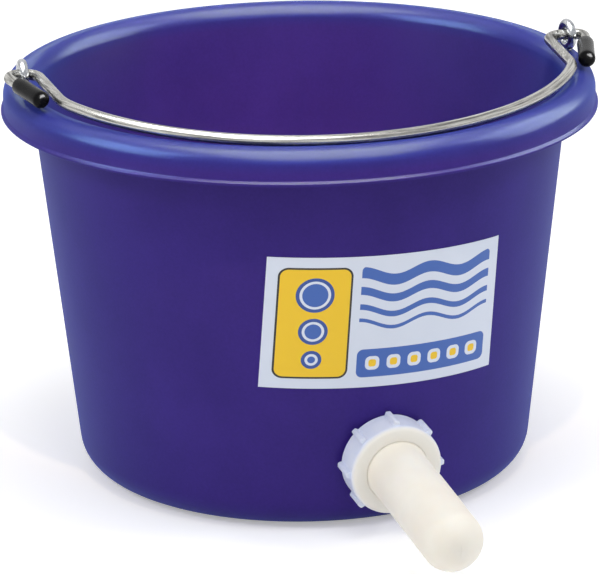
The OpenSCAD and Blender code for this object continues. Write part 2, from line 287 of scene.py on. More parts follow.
# Plastics and rubbers that only differ in colour, gloss and grain.
def mouldedStuff(name, look):
    material, tree, shader = newMaterial(name)
    spot = addNode(tree, "ShaderNodeTexCoord").outputs["Object"]
    cloud = addNode(tree, "ShaderNodeTexNoise", None,
                    {"Vector": spot, "Scale": perMetre(look["cloudMm"]), "Detail": 3.0})
    grain = addNode(tree, "ShaderNodeTexNoise", None,
                    {"Vector": spot, "Scale": perMetre(look["grainMm"]), "Detail": 3.0, "Roughness": 0.6})
    tint = addNode(tree, "ShaderNodeValToRGB", None, {"Fac": cloud.outputs["Fac"]},
                   [(0.3, look["dark"]), (0.72, look["light"])])
    gloss = addNode(tree, "ShaderNodeMapRange", None,
                    {"Value": grain.outputs["Fac"], "From Min": 0.3, "From Max": 0.7,
                     "To Min": look["roughness"] - 0.05, "To Max": look["roughness"] + 0.06})
    relief = addNode(tree, "ShaderNodeBump", None,
                     {"Strength": look["relief"], "Distance": 0.05 * mm, "Height": grain.outputs["Fac"]})
    setSockets(tree, shader, {"Base Color": tint.outputs["Color"], "Roughness": gloss.outputs["Result"],
                              "Normal": relief.outputs["Normal"], **look["sockets"]})
    return material


# Natural polyethylene, unpigmented: milky and half clear, blue-white on the side; on the front face,
# where the nipple's flange lies right behind it, the flange's cream is painted on as a painted show-through.
def naturalPolyethylene():
    look = {"shade": "#d6def6", "milk": "#ecf0fc", "flangeShowThrough": "#f7f4ed", "cloudMm": 9, "grainMm": 0.9,
            "showThroughFrom": 13.6, "showThroughTo": 15.2, "roughLow": 0.3, "roughHigh": 0.42}
    material, tree, shader = newMaterial("naturalPolyethylene")
    spot = addNode(tree, "ShaderNodeTexCoord").outputs["Object"]
    toSpout = spoutFrame.inverted()
    turned = addNode(tree, "ShaderNodeMapping", {"vector_type": "POINT"},
                     {"Vector": spot, "Location": toSpout.translation, "Rotation": toSpout.to_euler()})
    along = addNode(tree, "ShaderNodeSeparateXYZ", None, {"Vector": turned.outputs["Vector"]})
    cloud = addNode(tree, "ShaderNodeTexNoise", None,
                    {"Vector": spot, "Scale": perMetre(look["cloudMm"]), "Detail": 3.0})
    showThroughMask = addNode(tree, "ShaderNodeMapRange", None,
                      {"Value": along.outputs["Z"], "From Min": look["showThroughFrom"] * mm,
                       "From Max": look["showThroughTo"] * mm})
    milky = addNode(tree, "ShaderNodeMix", {"data_type": "RGBA"},
                    {"Factor": cloud.outputs["Fac"], "A": linearColour(look["shade"]),
                     "B": linearColour(look["milk"])})
    # painted show-through: the front face takes the cream of the nipple's flange that lies behind it
    tint = addNode(tree, "ShaderNodeMix", {"data_type": "RGBA"},
                   {"Factor": showThroughMask.outputs["Result"], "A": milky.outputs["Result"],
                    "B": linearColour(look["flangeShowThrough"])})
    grain = addNode(tree, "ShaderNodeTexNoise", None,
                    {"Vector": spot, "Scale": perMetre(look["grainMm"]), "Detail": 2.0})
    gloss = addNode(tree, "ShaderNodeMapRange", None,
                    {"Value": grain.outputs["Fac"], "From Min": 0.3, "From Max": 0.7,
                     "To Min": look["roughLow"], "To Max": look["roughHigh"]})
    relief = addNode(tree, "ShaderNodeBump", None,
                     {"Strength": 0.1, "Distance": 0.05 * mm, "Height": grain.outputs["Fac"]})
    setSockets(tree, shader, {
        "Base Color": tint.outputs["Result"], "Roughness": gloss.outputs["Result"],
        "Normal": relief.outputs["Normal"], "IOR": 1.51, "Specular IOR Level": 0.35,
        "Subsurface Weight": 0.35, "Subsurface Scale": 2.5 * mm, "Subsurface Radius": (0.8, 0.9, 1.0)})
    return material


blueMaterial = mouldedPolyethylene()
zincMaterial = brightZinc()
# Dipped vinyl: a thick glossy black skin with a slightly uneven surface.
vinylMaterial = mouldedStuff("dippedBlackVinyl", {
    "dark": "#050506", "light": "#0b0b0d", "cloudMm": 4, "grainMm": 0.8, "roughness": 0.24, "relief": 0.15,
    "sockets": {"IOR": 1.53, "Specular IOR Level": 0.07}})
# Moulded gum rubber: soft cream with a matt, slightly waxy skin.
rubberMaterial = mouldedStuff("creamGumRubber", {
    "dark": "#f4ede0", "light": "#faf5eb", "cloudMm": 26, "grainMm": 0.7, "roughness": 0.5, "relief": 0.12,
    "sockets": {"IOR": 1.5, "Specular IOR Level": 0.3, "Subsurface Weight": 0.2, "Subsurface Scale": 3 * mm,
                "Subsurface Radius": (1.0, 0.8, 0.6)}})
# Polypropylene for the spout, its ball and clip: white, moulded, half gloss.
spoutMaterial = mouldedStuff("whitePolypropylene", {
    "dark": "#dfe2e6", "light": "#eef0f3", "cloudMm": 8, "grainMm": 0.8, "roughness": 0.36, "relief": 0.1,
    "sockets": {"IOR": 1.49}})
# Nitrile sheet rubber, cut from a roll: black and matt.
gasketMaterial = mouldedStuff("blackNitrile", {
    "dark": "#17171a", "light": "#222226", "cloudMm": 5, "grainMm": 0.5, "roughness": 0.6, "relief": 0.2,
    "sockets": {"IOR": 1.52}})
collarMaterial = naturalPolyethylene()
print("materials made")

# the pail: one spun section with a rolled rim, then the flat pad and the holes
pail = {"draft": 6.25, "wall": 3.0, "floor": 3.0, "corner": 16.0, "rimRound": 8.0, "skirtThick": 3.2,
        "crestThick": 4.5, "skirtDrop": 16.0, "channelRound": 1.0, "lipOut": 1.2, "lipHeight": 1.9,
        "lipEdge": 0.3, "lipLowRound": 0.4, "lipTopRound": 0.5, "lipFillet": 0.4, "spinSteps": 256,
        "gate": [(0, 0.8), (2.2, 0.8), (2.8, 0.1), (3.2, 0)],  # sprue mark, sunk in the base
        "outerRows": (40, 70, 100, 130, 155), "innerRows": (160, 130, 100, 70, 40),  # heights on the wall
        "padRadius": 21.0, "padOut": 0.4, "padIn": 5.6, "spoutHole": 17.8, "spoutCutIn": 30.0,
        "spoutCutOut": 20.0, "eyeHole": 2.25, "eyeCutDown": 12.0, "eyeCutUp": 5.0}
slope = tan(radians(pail["draft"]))
slant = hypot(1, slope)
crestRadius = lipRadius - pail["rimRound"] - pail["lipOut"]
archHeight = rimTop - pail["rimRound"]


def wallIn(height):
    return crestRadius - pail["rimRound"] * slant + slope * (height - archHeight)


def wallOut(height):
    return wallIn(height) + pail["wall"] * slant


def pailSection():
    draft = pail["draft"]
    corner = pail["corner"]
    innerCorner = corner - pail["wall"]
    channelRound = pail["channelRound"]
    channelHeight = rimTop - pail["crestThick"] - channelRound
    lipLow = rimTop - pail["skirtDrop"]
    lipTop = lipLow + pail["lipHeight"]
    edge = pail["lipEdge"]
    lowRound = pail["lipLowRound"]
    topRound = pail["lipTopRound"]
    fillet = pail["lipFillet"]
    face = crestRadius + pail["rimRound"]
    skirtIn = face - pail["skirtThick"]
    outerCentre = (wallOut(corner) - corner * slant, corner)
    innerHeight = pail["floor"] + innerCorner
    innerCentre = (wallIn(innerHeight) - innerCorner * slant, innerHeight)
    channelCentre = (wallOut(channelHeight) + channelRound * slant, channelHeight)
    base = pail["gate"] + arcRun(outerCentre, corner, -90, -draft, steps=14)
    upWall = [(wallOut(z), z) for z in pail["outerRows"]]
    channel = arcRun(channelCentre, channelRound, 180 - draft, 90, steps=4)
    channel += arcRun((skirtIn - channelRound, channelHeight), channelRound, 90, 0, steps=4)
    lip = [(skirtIn, lipLow + edge), (skirtIn + edge, lipLow)]
    lip += arcRun((lipRadius - lowRound, lipLow + lowRound), lowRound, -90, 0, steps=4)
    lip += arcRun((lipRadius - topRound, lipTop - 2 * topRound), topRound, 0, 50, steps=5)
    lip += [(face + fillet / 4, lipTop + fillet / 2), (face + fillet / 20, lipTop + fillet)]
    arch = arcRun((crestRadius, archHeight), pail["rimRound"], 0, 180 - draft, steps=28)
    downWall = [(wallIn(z), z) for z in pail["innerRows"]]
    innerBase = arcRun(innerCentre, innerCorner, -draft, -90, steps=14) + [(0, pail["floor"])]
    return base + upWall + channel + lip + arch + downWall + innerBase


pailShell = spinProfile("pailShell", pailSection(), pail["spinSteps"])
padDisc = rod("padDisc", pail["padRadius"], -pail["padIn"], pail["padOut"], sides=96)
place(padDisc, spoutFrame)
cutOrJoin(pailShell, padDisc, "UNION")
spoutDrill = rod("spoutDrill", pail["spoutHole"], -pail["spoutCutIn"], pail["spoutCutOut"], sides=96)
place(spoutDrill, spoutFrame)
cutOrJoin(pailShell, spoutDrill, "DIFFERENCE")
for side in (-1, 1):
    drill = rod("drill", pail["eyeHole"], rimTop - pail["eyeCutDown"], rimTop + pail["eyeCutUp"], sides=32)
    place(drill, Matrix.Translation((side * crestRadius * mm, 0, 0)))
    cutOrJoin(pailShell, drill, "DIFFERENCE")
smooth(pailShell, angleDeg=35)
dress(pailShell, "bucket", blueMaterial, ["bucket_shell"])
print("pail made, faces:", len(pailShell.data.polygons))

# the bail: each half of the wire is extruded and spun in its own plane, and the two are joined
bail = {"wire": 5.1, "bowInset": 0.7, "bowBack": 5.3, "innerBend": 8.0, "outerBend": 5.0,
        "toe": 15.0, "leg": 35.0, "restGap": 0.3, "hookOut": 2.0, "sides": 32,
        "right": {"inset": 11.0, "lean": 0.0, "kinkBend": 24.0},
        "left": {"inset": 7.0, "lean": 6.0, "kinkBend": 42.0}}
bowRadius = crestRadius - bail["bowInset"]
bowReach = bowRadius - bail["bowBack"]
hookX = crestRadius + bail["hookOut"]
archDrop = eyeHeight - archHeight
archFar = hypot(crestRadius, archDrop)
restFar = pail["rimRound"] + bail["wire"] / 2 + bail["restGap"]
restCos = (bowReach ** 2 + archFar ** 2 - restFar ** 2) / (2 * bowReach * archFar)
bailDrop = atan(archDrop / crestRadius) - acos(restCos)
bailFrame = Matrix.Translation((0, 0, eyeHeight * mm)) @ Matrix.Rotation(bailDrop, 4, "X")


# Drawn and plated wire: grey metal with die lines that follow the bow, some dull, some bright. The
# lines are coarser than real ones, so that they show.
def drawnWire():
    look = {"dull": "#605f5c", "bright": "#c6c5c0", "lineMm": 0.8, "linesPerRadian": 5.0,
            "roughLow": 0.16, "roughHigh": 0.34}
    material, tree, shader = newMaterial("drawnBailWire")
    spot = addNode(tree, "ShaderNodeTexCoord").outputs["Object"]
    toBail = bailFrame.inverted()
    flat = addNode(tree, "ShaderNodeMapping", {"vector_type": "POINT"},
                   {"Vector": spot, "Location": toBail.translation, "Rotation": toBail.to_euler()})
    axes = addNode(tree, "ShaderNodeSeparateXYZ", None, {"Vector": flat.outputs["Vector"]})
    back = addNode(tree, "ShaderNodeMath", {"operation": "SUBTRACT"},
                   {0: axes.outputs["Y"], 1: bail["bowBack"] * mm})
    ray = addNode(tree, "ShaderNodeCombineXYZ", None, {"X": axes.outputs["X"], "Y": back.outputs[0]})
    reach = addNode(tree, "ShaderNodeVectorMath", {"operation": "LENGTH"}, {0: ray.outputs["Vector"]})
    sweep = addNode(tree, "ShaderNodeMath", {"operation": "ARCTAN2"},
                    {0: back.outputs[0], 1: axes.outputs["X"]})
    wound = addNode(tree, "ShaderNodeCombineXYZ", None,
                    {"X": reach.outputs["Value"], "Y": axes.outputs["Z"], "Z": sweep.outputs[0]})
    fine = perMetre(look["lineMm"])
    drawn = addNode(tree, "ShaderNodeVectorMath", {"operation": "MULTIPLY"},
                    {0: wound.outputs["Vector"], 1: (fine, fine, look["linesPerRadian"])})
    streak = addNode(tree, "ShaderNodeTexNoise", None,
                     {"Vector": drawn.outputs["Vector"], "Scale": 1.0, "Detail": 4.0, "Roughness": 0.65})
    tint = addNode(tree, "ShaderNodeValToRGB", None, {"Fac": streak.outputs["Fac"]},
                   [(0.36, look["dull"]), (0.62, look["bright"])])
    gloss = addNode(tree, "ShaderNodeMapRange", None,
                    {"Value": streak.outputs["Fac"], "From Min": 0.35, "From Max": 0.65,
                     "To Min": look["roughHigh"], "To Max": look["roughLow"]})
    relief = addNode(tree, "ShaderNodeBump", None,
                     {"Strength": 0.25, "Distance": 0.04 * mm, "Height": streak.outputs["Fac"]})
    setSockets(tree, shader, {"Base Color": tint.outputs["Color"], "Roughness": gloss.outputs["Result"],
                              "Normal": relief.outputs["Normal"], "Metallic": 1.0})
    return material


def spinOn(angle, centre, steps):
    bpy.ops.mesh.spin(steps=steps, angle=-angle, center=(centre[0] * mm, centre[1] * mm, 0), axis=(0, 0, 1))


def runOn(length, headingDeg):
    step = (length * mm * cos(radians(headingDeg)), length * mm * sin(radians(headingDeg)), 0)
    bpy.ops.mesh.extrude_region_move(TRANSFORM_OT_translate={"value": step})


def bailHalf(name, arm):  # drawn on the right side, from the middle of the bow to the hooked end
    lean = radians(arm["lean"])
    across = Vector((cos(lean), -sin(lean)))
    bend = Vector((crestRadius - arm["inset"] + bail["innerBend"] * cos(lean), -bail["innerBend"]))
    armFar = bend.dot(across) - bail["innerBend"]
    kinkReach = bowRadius - arm["kinkBend"]
    kinkTurn = lean + acos((armFar - arm["kinkBend"] + bail["bowBack"] * sin(lean)) / kinkReach)
    kink = Vector((kinkReach * cos(kinkTurn), bail["bowBack"] - kinkReach * sin(kinkTurn)))
    armRun = bend - kink - (bail["innerBend"] + arm["kinkBend"]) * across
    pickNothing()
    bpy.ops.mesh.primitive_circle_add(vertices=bail["sides"], radius=bail["wire"] / 2 * mm)
    wireHalf = nameActive(name)
    place(wireHalf, Matrix.Translation((0, -bowReach * mm, 0)) @ Matrix.Rotation(pi / 2, 4, "Y"))
    bpy.ops.object.mode_set(mode="EDIT")
    bpy.ops.mesh.select_all(action="SELECT")
    spinOn(pi / 2 - kinkTurn, (0, bail["bowBack"]), steps=64)
    spinOn(kinkTurn - lean, kink, steps=10)
    runOn(armRun.length, 90 - arm["lean"])
    spinOn(lean - pi / 2, bend, steps=14)
    runOn(hookX - bend.x, 0)
    spinOn(-pi / 2 - radians(bail["toe"]), (hookX, -bail["outerBend"]), steps=14)
    runOn(bail["leg"], -90 - bail["toe"])
    bpy.ops.mesh.edge_face_add()
    bpy.ops.object.mode_set(mode="OBJECT")
    return wireHalf


bailWire = bailHalf("bailWire", bail["right"])
leftHalf = bailHalf("leftHalf", bail["left"])
place(leftHalf, Matrix.Diagonal((-1, 1, 1, 1)))
pickOnly(bailWire)
leftHalf.select_set(True)
bpy.ops.object.join()
closeUp(bailWire)
place(bailWire, bailFrame)
smooth(bailWire, angleDeg=40)
dress(bailWire, "bail", drawnWire(), ["bail_wire_bow"])
print("bail made, drop in degrees:", round(bailDrop * 180 / pi, 2))

# tip caps: dipped sleeves on the hooked ends, with a soft open edge and a domed end
cap = {"diameter": 8.2, "length": 26.0, "past": 1.6, "endRound": 2.9, "mouthRound": 0.5, "mouthEdge": 0.2,
       "gap": 0.02, "endGap": 0.1,
       "waist": ((0.05, 6.0), (0.1, 14.0), (0.03, 20.0))}  # how far the skin draws in, and where


def capSection():
    outer = cap["diameter"] / 2
    bore = bail["wire"] / 2 + cap["gap"]
    edge = cap["mouthEdge"]
    end = cap["length"]
    seat = end - cap["past"] + cap["endGap"]
    sleeve = [(bore, seat), (bore, edge), (bore + edge, 0)]
    mouth = arcRun((outer - cap["mouthRound"], cap["mouthRound"]), cap["mouthRound"], -90, 0, steps=4)
    barrel = [(outer - drawnIn, z) for drawnIn, z in cap["waist"]]
    dome = arcRun((outer - cap["endRound"], end - cap["endRound"]), cap["endRound"], 0, 90, steps=8)
    return sleeve + mouth + barrel + dome + [(0, end), (0, seat), (bore, seat)]


toe = radians(bail["toe"])
tipAlong = Vector((cos(-pi / 2 - toe), sin(-pi / 2 - toe), 0))
legStart = Vector((hookX, -bail["outerBend"], 0)) + Vector((cos(toe), -sin(toe), 0)) * bail["outerBend"]
capStart = legStart + tipAlong * (bail["leg"] - cap["length"] + cap["past"])
capTurn = Matrix.Rotation(-pi / 2 - toe, 4, "Z") @ Matrix.Rotation(pi / 2, 4, "Y")
capModel = spinProfile("capModel", capSection(), steps=40)
tipCaps = []
for hand, side in hands.items():
    tipCap = copyOf(capModel, hand + "TipCap")
    mirrored = Matrix.Diagonal((side, 1, 1, 1))
    place(tipCap, bailFrame @ mirrored @ Matrix.Translation(capStart * mm) @ capTurn)
    closeUp(tipCap)
    smooth(tipCap, angleDeg=50)
    dress(tipCap, "bail", vinylMaterial, [hand + "_tip_cap"])
    tipCaps.append(tipCap)
bpy.data.objects.remove(capModel, do_unlink=True)
print("tip caps made")

# eye bolts: a wire eye on a neck and a threaded shank, with ridges for the thread
eye = {"wire": 4.2, "radius": 5.4, "shank": 3.9, "shankLength": 12.0, "turnDeg": {"right": 10.0, "left": 0.0},
       "ringSteps": 64, "wireSteps": 28, "tipIn": 0.5, "tipRise": 0.3, "threadTop": 4.0, "threadDepth": 0.42,
       "threadFrom": 0.5, "pitch": 0.7, "runOut": 0.6,
       "crest": (0.4, 0.55)}  # where a ridge's crest starts and ends, in pitches


def shankSection():
    outer = eye["shank"] / 2
    root = outer - eye["threadDepth"]
    low = rimTop - eye["shankLength"]
    ringLow = eyeHeight - eye["radius"]
    rows = [(0, low), (outer - eye["tipIn"], low), (root, low + eye["tipRise"])]
    for i in range(int((eye["shankLength"] - eye["threadTop"]) / eye["pitch"])):
        z = low + eye["threadFrom"] + i * eye["pitch"]
        rows += [(root, z)] + [(outer, z + eye["pitch"] * share) for share in eye["crest"]]
    return rows + [(outer, rimTop - eye["threadTop"] + eye["runOut"]), (outer, ringLow), (0, ringLow)]


pickNothing()
bpy.ops.mesh.primitive_torus_add(major_radius=eye["radius"] * mm, minor_radius=eye["wire"] / 2 * mm,
                                 major_segments=eye["ringSteps"], minor_segments=eye["wireSteps"])
eyeModel = nameActive("eyeModel")
place(eyeModel, Matrix.Translation((0, 0, eyeHeight * mm)) @ Matrix.Rotation(pi / 2, 4, "Y"))
cutOrJoin(eyeModel, spinProfile("shank", shankSection(), eye["wireSteps"]), "UNION")
eyeBolts = []
for hand, side in hands.items():
    eyeBolt = copyOf(eyeModel, hand + "EyeBolt")
    eyeTurn = Matrix.Rotation(radians(eye["turnDeg"][hand]), 4, "Z")
    place(eyeBolt, Matrix.Translation((side * crestRadius * mm, 0, 0)) @ eyeTurn)
    smooth(eyeBolt, angleDeg=40)
    dress(eyeBolt, "bucket", zincMaterial, [hand + "_eye_bolt"])
    eyeBolts.append(eyeBolt)
bpy.data.objects.remove(eyeModel, do_unlink=True)
print("eye bolts made")

# the nipple: a hollow teat that droops a little from its flange, with a domed end and a crossed slit
nipple = {"flangeIn": 10.6, "flangeRadius": 17.1, "flangeThick": 2.2, "flangeEdge": 0.4, "flangeLap": 0.05,
          "collarOut": 15.4, "base": 14.5, "tip": 14.4, "length": 79.0, "wall": 3.2, "round": 11.0,
          "droop": 2.0, "root": 14.88, "rootBack": 0.15, "rootOut": 0.5, "rootLap": 0.3, "rootSunk": 1.0,
          "slit": 6.0, "slitWidth": 0.05, "sideRows": 10, "spinSteps": 96}
nippleEnd = nipple["collarOut"] + nipple["length"]
droopAt = nipple["flangeIn"] + nipple["flangeThick"] / 2
droopFrame = (Matrix.Translation((0, 0, droopAt * mm)) @ Matrix.Rotation(radians(nipple["droop"]), 4, "X")
              @ Matrix.Translation((0, 0, -droopAt * mm)))


def nippleSection():
    base, tip, wall = nipple["base"], nipple["tip"], nipple["wall"]
    domeCentre = (tip - nipple["round"], nippleEnd - nipple["round"])
    front = nipple["collarOut"]
    rise = domeCentre[1] - front
    rows = nipple["sideRows"]
    outside = [(base + (tip - base) * i / rows, front + rise * i / rows) for i in range(rows)]
    dome = arcRun(domeCentre, nipple["round"], 0, 90, steps=16)
    hollow = arcRun(domeCentre, nipple["round"] - wall, 90, 0, steps=10)
    mouth = [(base - wall, front), (base - wall, droopAt), (base, droopAt)]
    return [(base, droopAt)] + outside + dome + [(0, nippleEnd), (0, nippleEnd - wall)] + hollow + mouth


def flangeSection():
    low = nipple["flangeIn"]
    high = low + nipple["flangeThick"]
    outer = nipple["flangeRadius"]
    edge = nipple["flangeEdge"]
    inner = nipple["base"] - nipple["wall"] + nipple["flangeLap"]
    front = nipple["collarOut"]
    sunk = nipple["base"] - nipple["rootSunk"]
    plate = [(inner, low), (outer - edge, low), (outer, low + edge), (outer, high - edge),
             (outer - edge, high)]
    swelling = [(nipple["root"], high), (nipple["root"], front - nipple["rootBack"]),
                (nipple["base"] - nipple["rootLap"], front + nipple["rootOut"]),
                (sunk, front + nipple["rootOut"]), (sunk, high)]  # fills the collar's hole
    return plate + swelling + [(inner, high), (inner, low)]


teat = spinProfile("nippleTeat", nippleSection(), nipple["spinSteps"])
for turnDeg in (0, 90):
    blade = block("blade", (nipple["slit"], nipple["slitWidth"], nipple["wall"] * 3), (0, 0, nippleEnd))
    place(blade, Matrix.Rotation(radians(turnDeg), 4, "Z"))
    cutOrJoin(teat, blade, "DIFFERENCE")
place(teat, droopFrame)
cutOrJoin(teat, spinProfile("flange", flangeSection(), nipple["spinSteps"]), "UNION")
place(teat, spoutFrame)
smooth(teat, angleDeg=40)
dress(teat, "teat", rubberMaterial, ["nipple"])
print("nipple made")

# the collar: a spun cap with rounded ribs, one rib modelled and copied round
collar = {"inner": 17.8, "outer": 22.2, "back": 0.7, "front": 15.4, "lipIn": 12.9, "hole": 14.93,
          "edge": 2.2, "backEdge": 0.3, "holeRound": 0.5, "spinSteps": 120, "ribs": 8, "ribHeight": 2.1,
          "ribRoot": 0.8, "ribWidth": 3.8, "ribTop": 2.1, "ribInset": 0.4, "ribBevel": 0.6, "firstRib": 90}


def collarSection():
    inner, outer, back, front = collar["inner"], collar["outer"], collar["back"], collar["front"]
    edge, backEdge, holeRound = collar["edge"], collar["backEdge"], collar["holeRound"]
    rim = arcRun((outer - edge, front - edge), edge, 0, 90, steps=8)
    hole = arcRun((collar["hole"] + holeRound, front - holeRound), holeRound, 90, 180, steps=5)
    lip = [(collar["hole"], collar["lipIn"]), (inner, collar["lipIn"])]
    skirt = [(inner, back), (outer - backEdge, back), (outer, back + backEdge)]
    return skirt + rim + hole + lip + [(inner, back)]


collarCap = spinProfile("collarCap", collarSection(), collar["spinSteps"])
ribLow = collar["back"] + collar["ribInset"]
ribHigh = collar["front"] - collar["edge"] - collar["ribInset"]
ribDeep = collar["ribHeight"] + collar["ribRoot"]
ribMiddle = (collar["outer"] - collar["ribRoot"] + ribDeep / 2, 0, (ribLow + ribHigh) / 2)
rib = block("rib", (ribDeep, collar["ribWidth"], ribHigh - ribLow), ribMiddle)
bpy.ops.object.mode_set(mode="EDIT")
bpy.ops.mesh.select_all(action="DESELECT")
bpy.ops.mesh.select_mode(type="FACE")
bpy.ops.object.mode_set(mode="OBJECT")
for face in rib.data.polygons:
    face.select = face.normal.x > 0.9  # the outer face alone
bpy.ops.object.mode_set(mode="EDIT")
bpy.ops.transform.resize(value=(1, collar["ribTop"] / collar["ribWidth"], 1))
bpy.ops.mesh.bevel(offset=collar["ribBevel"] * mm, segments=4, affect="EDGES")
bpy.ops.object.mode_set(mode="OBJECT")
joinRound(collarCap, rib, collar["ribs"], collar["firstRib"])
place(collarCap, spoutFrame)
smooth(collarCap, angleDeg=35)
dress(collarCap, "collar", collarMaterial, ["collar_nut"])
print("collar made")

# the spout: a flanged tube with a valve seat and the ball's guides inside it and a coarse thread outside
spout = {"flangeIn": -10.1, "flangeOut": -7.1, "flangeRadius": 21.5, "tube": 17.5, "tubeEnd": 0.4,
         "flangeCorner": ((0.8, 0.0), (0.2, 0.25), (0.0, 0.8)),  # its points, inwards and up
         "root": 16.6, "rootFrom": 0.9, "bore": 15.0, "end": 10.5, "endEdge": 0.6, "web": -4.1,
         "valveOuter": 10.9, "valveBore": 8.5, "valveEnd": 9.5, "seatLow": 4.0, "seatIn": -7.285,
         "seatOut": -2.785, "guides": 4, "firstGuide": 45, "guideIn": 6.3, "guideWidth": 1.6, "guideEnd": 6.9,
         "guideRoot": 1.0, "guideGap": 0.3, "threadCrest": 17.4, "threadSunk": 0.5, "pitch": 4.0,
         "turns": 1.55, "threadFoot": 2.5, "threadTop": 0.7, "threadFrom": 1.2, "threadSteps": 110,
         "spinSteps": 96}


def spoutSection():
    low, end, root, edge = spout["flangeIn"], spout["end"], spout["root"], spout["endEdge"]
    flange = [(spout["flangeRadius"] - inwards, low + up) for inwards, up in spout["flangeCorner"]]
    flange += [(spout["flangeRadius"], spout["flangeOut"]), (spout["tube"], spout["flangeOut"])]
    tube = [(spout["tube"], spout["tubeEnd"]), (root, spout["rootFrom"]), (root, end - edge),
            (root - edge, end), (spout["bore"], end), (spout["bore"], spout["web"])]
    valve = [(spout["valveOuter"], spout["web"]), (spout["valveOuter"], spout["valveEnd"]),
             (spout["valveBore"], spout["valveEnd"]), (spout["valveBore"], spout["seatOut"]),
             (spout["seatLow"], spout["seatIn"])]
    return [(spout["seatLow"], low)] + flange + tube + valve + [(spout["seatLow"], low)]


def threadSection():
    flank = (spout["threadFoot"] - spout["threadTop"]) / 2
    sunk = spout["root"] - spout["threadSunk"]
    rows = [(sunk, 0), (spout["root"], 0), (spout["threadCrest"], flank),
            (spout["threadCrest"], flank + spout["threadTop"]), (spout["root"], spout["threadFoot"]),
            (sunk, spout["threadFoot"]), (sunk, 0)]
    return [(radius, z + spout["threadFrom"]) for radius, z in rows]


spoutBody = spinProfile("spoutBody", spoutSection(), spout["spinSteps"])
thread = drawProfile("thread", threadSection())
bpy.ops.mesh.select_all(action="SELECT")
bpy.ops.mesh.remove_doubles(threshold=mergeGap)
applyModifier(thread, "SCREW", {"axis": "Z", "angle": 2 * pi * spout["turns"],
                                "screw_offset": spout["pitch"] * spout["turns"] * mm,
                                "steps": spout["threadSteps"], "render_steps": spout["threadSteps"],
                                "use_merge_vertices": False})
bpy.ops.object.mode_set(mode="EDIT")
bpy.ops.mesh.select_all(action="SELECT")
bpy.ops.mesh.fill_holes(sides=0)
closeUp(thread)
cutOrJoin(spoutBody, thread, "UNION")
guideDeep = spout["valveBore"] + spout["guideRoot"] - spout["guideIn"]
guideLow = spout["seatOut"] + spout["guideGap"]
guideTall = spout["guideEnd"] - guideLow
guide = block("guide", (guideDeep, spout["guideWidth"], guideTall),
              (spout["guideIn"] + guideDeep / 2, 0, guideLow + guideTall / 2))
joinRound(spoutBody, guide, spout["guides"], spout["firstGuide"])
place(spoutBody, spoutFrame)
smooth(spoutBody, angleDeg=35)
dress(spoutBody, "bucket", spoutMaterial, ["spout_body"])
print("spout made")

# the label: a flat sheet laid against the pail, wrapped on to it and given its thickness
label = {"width": 114.0, "height": 65.0, "centre": 104.0, "tilt": 2.0, "gap": 0.1, "thick": 0.2,
         "standOff": 30.0, "columns": 96, "rows": 28}


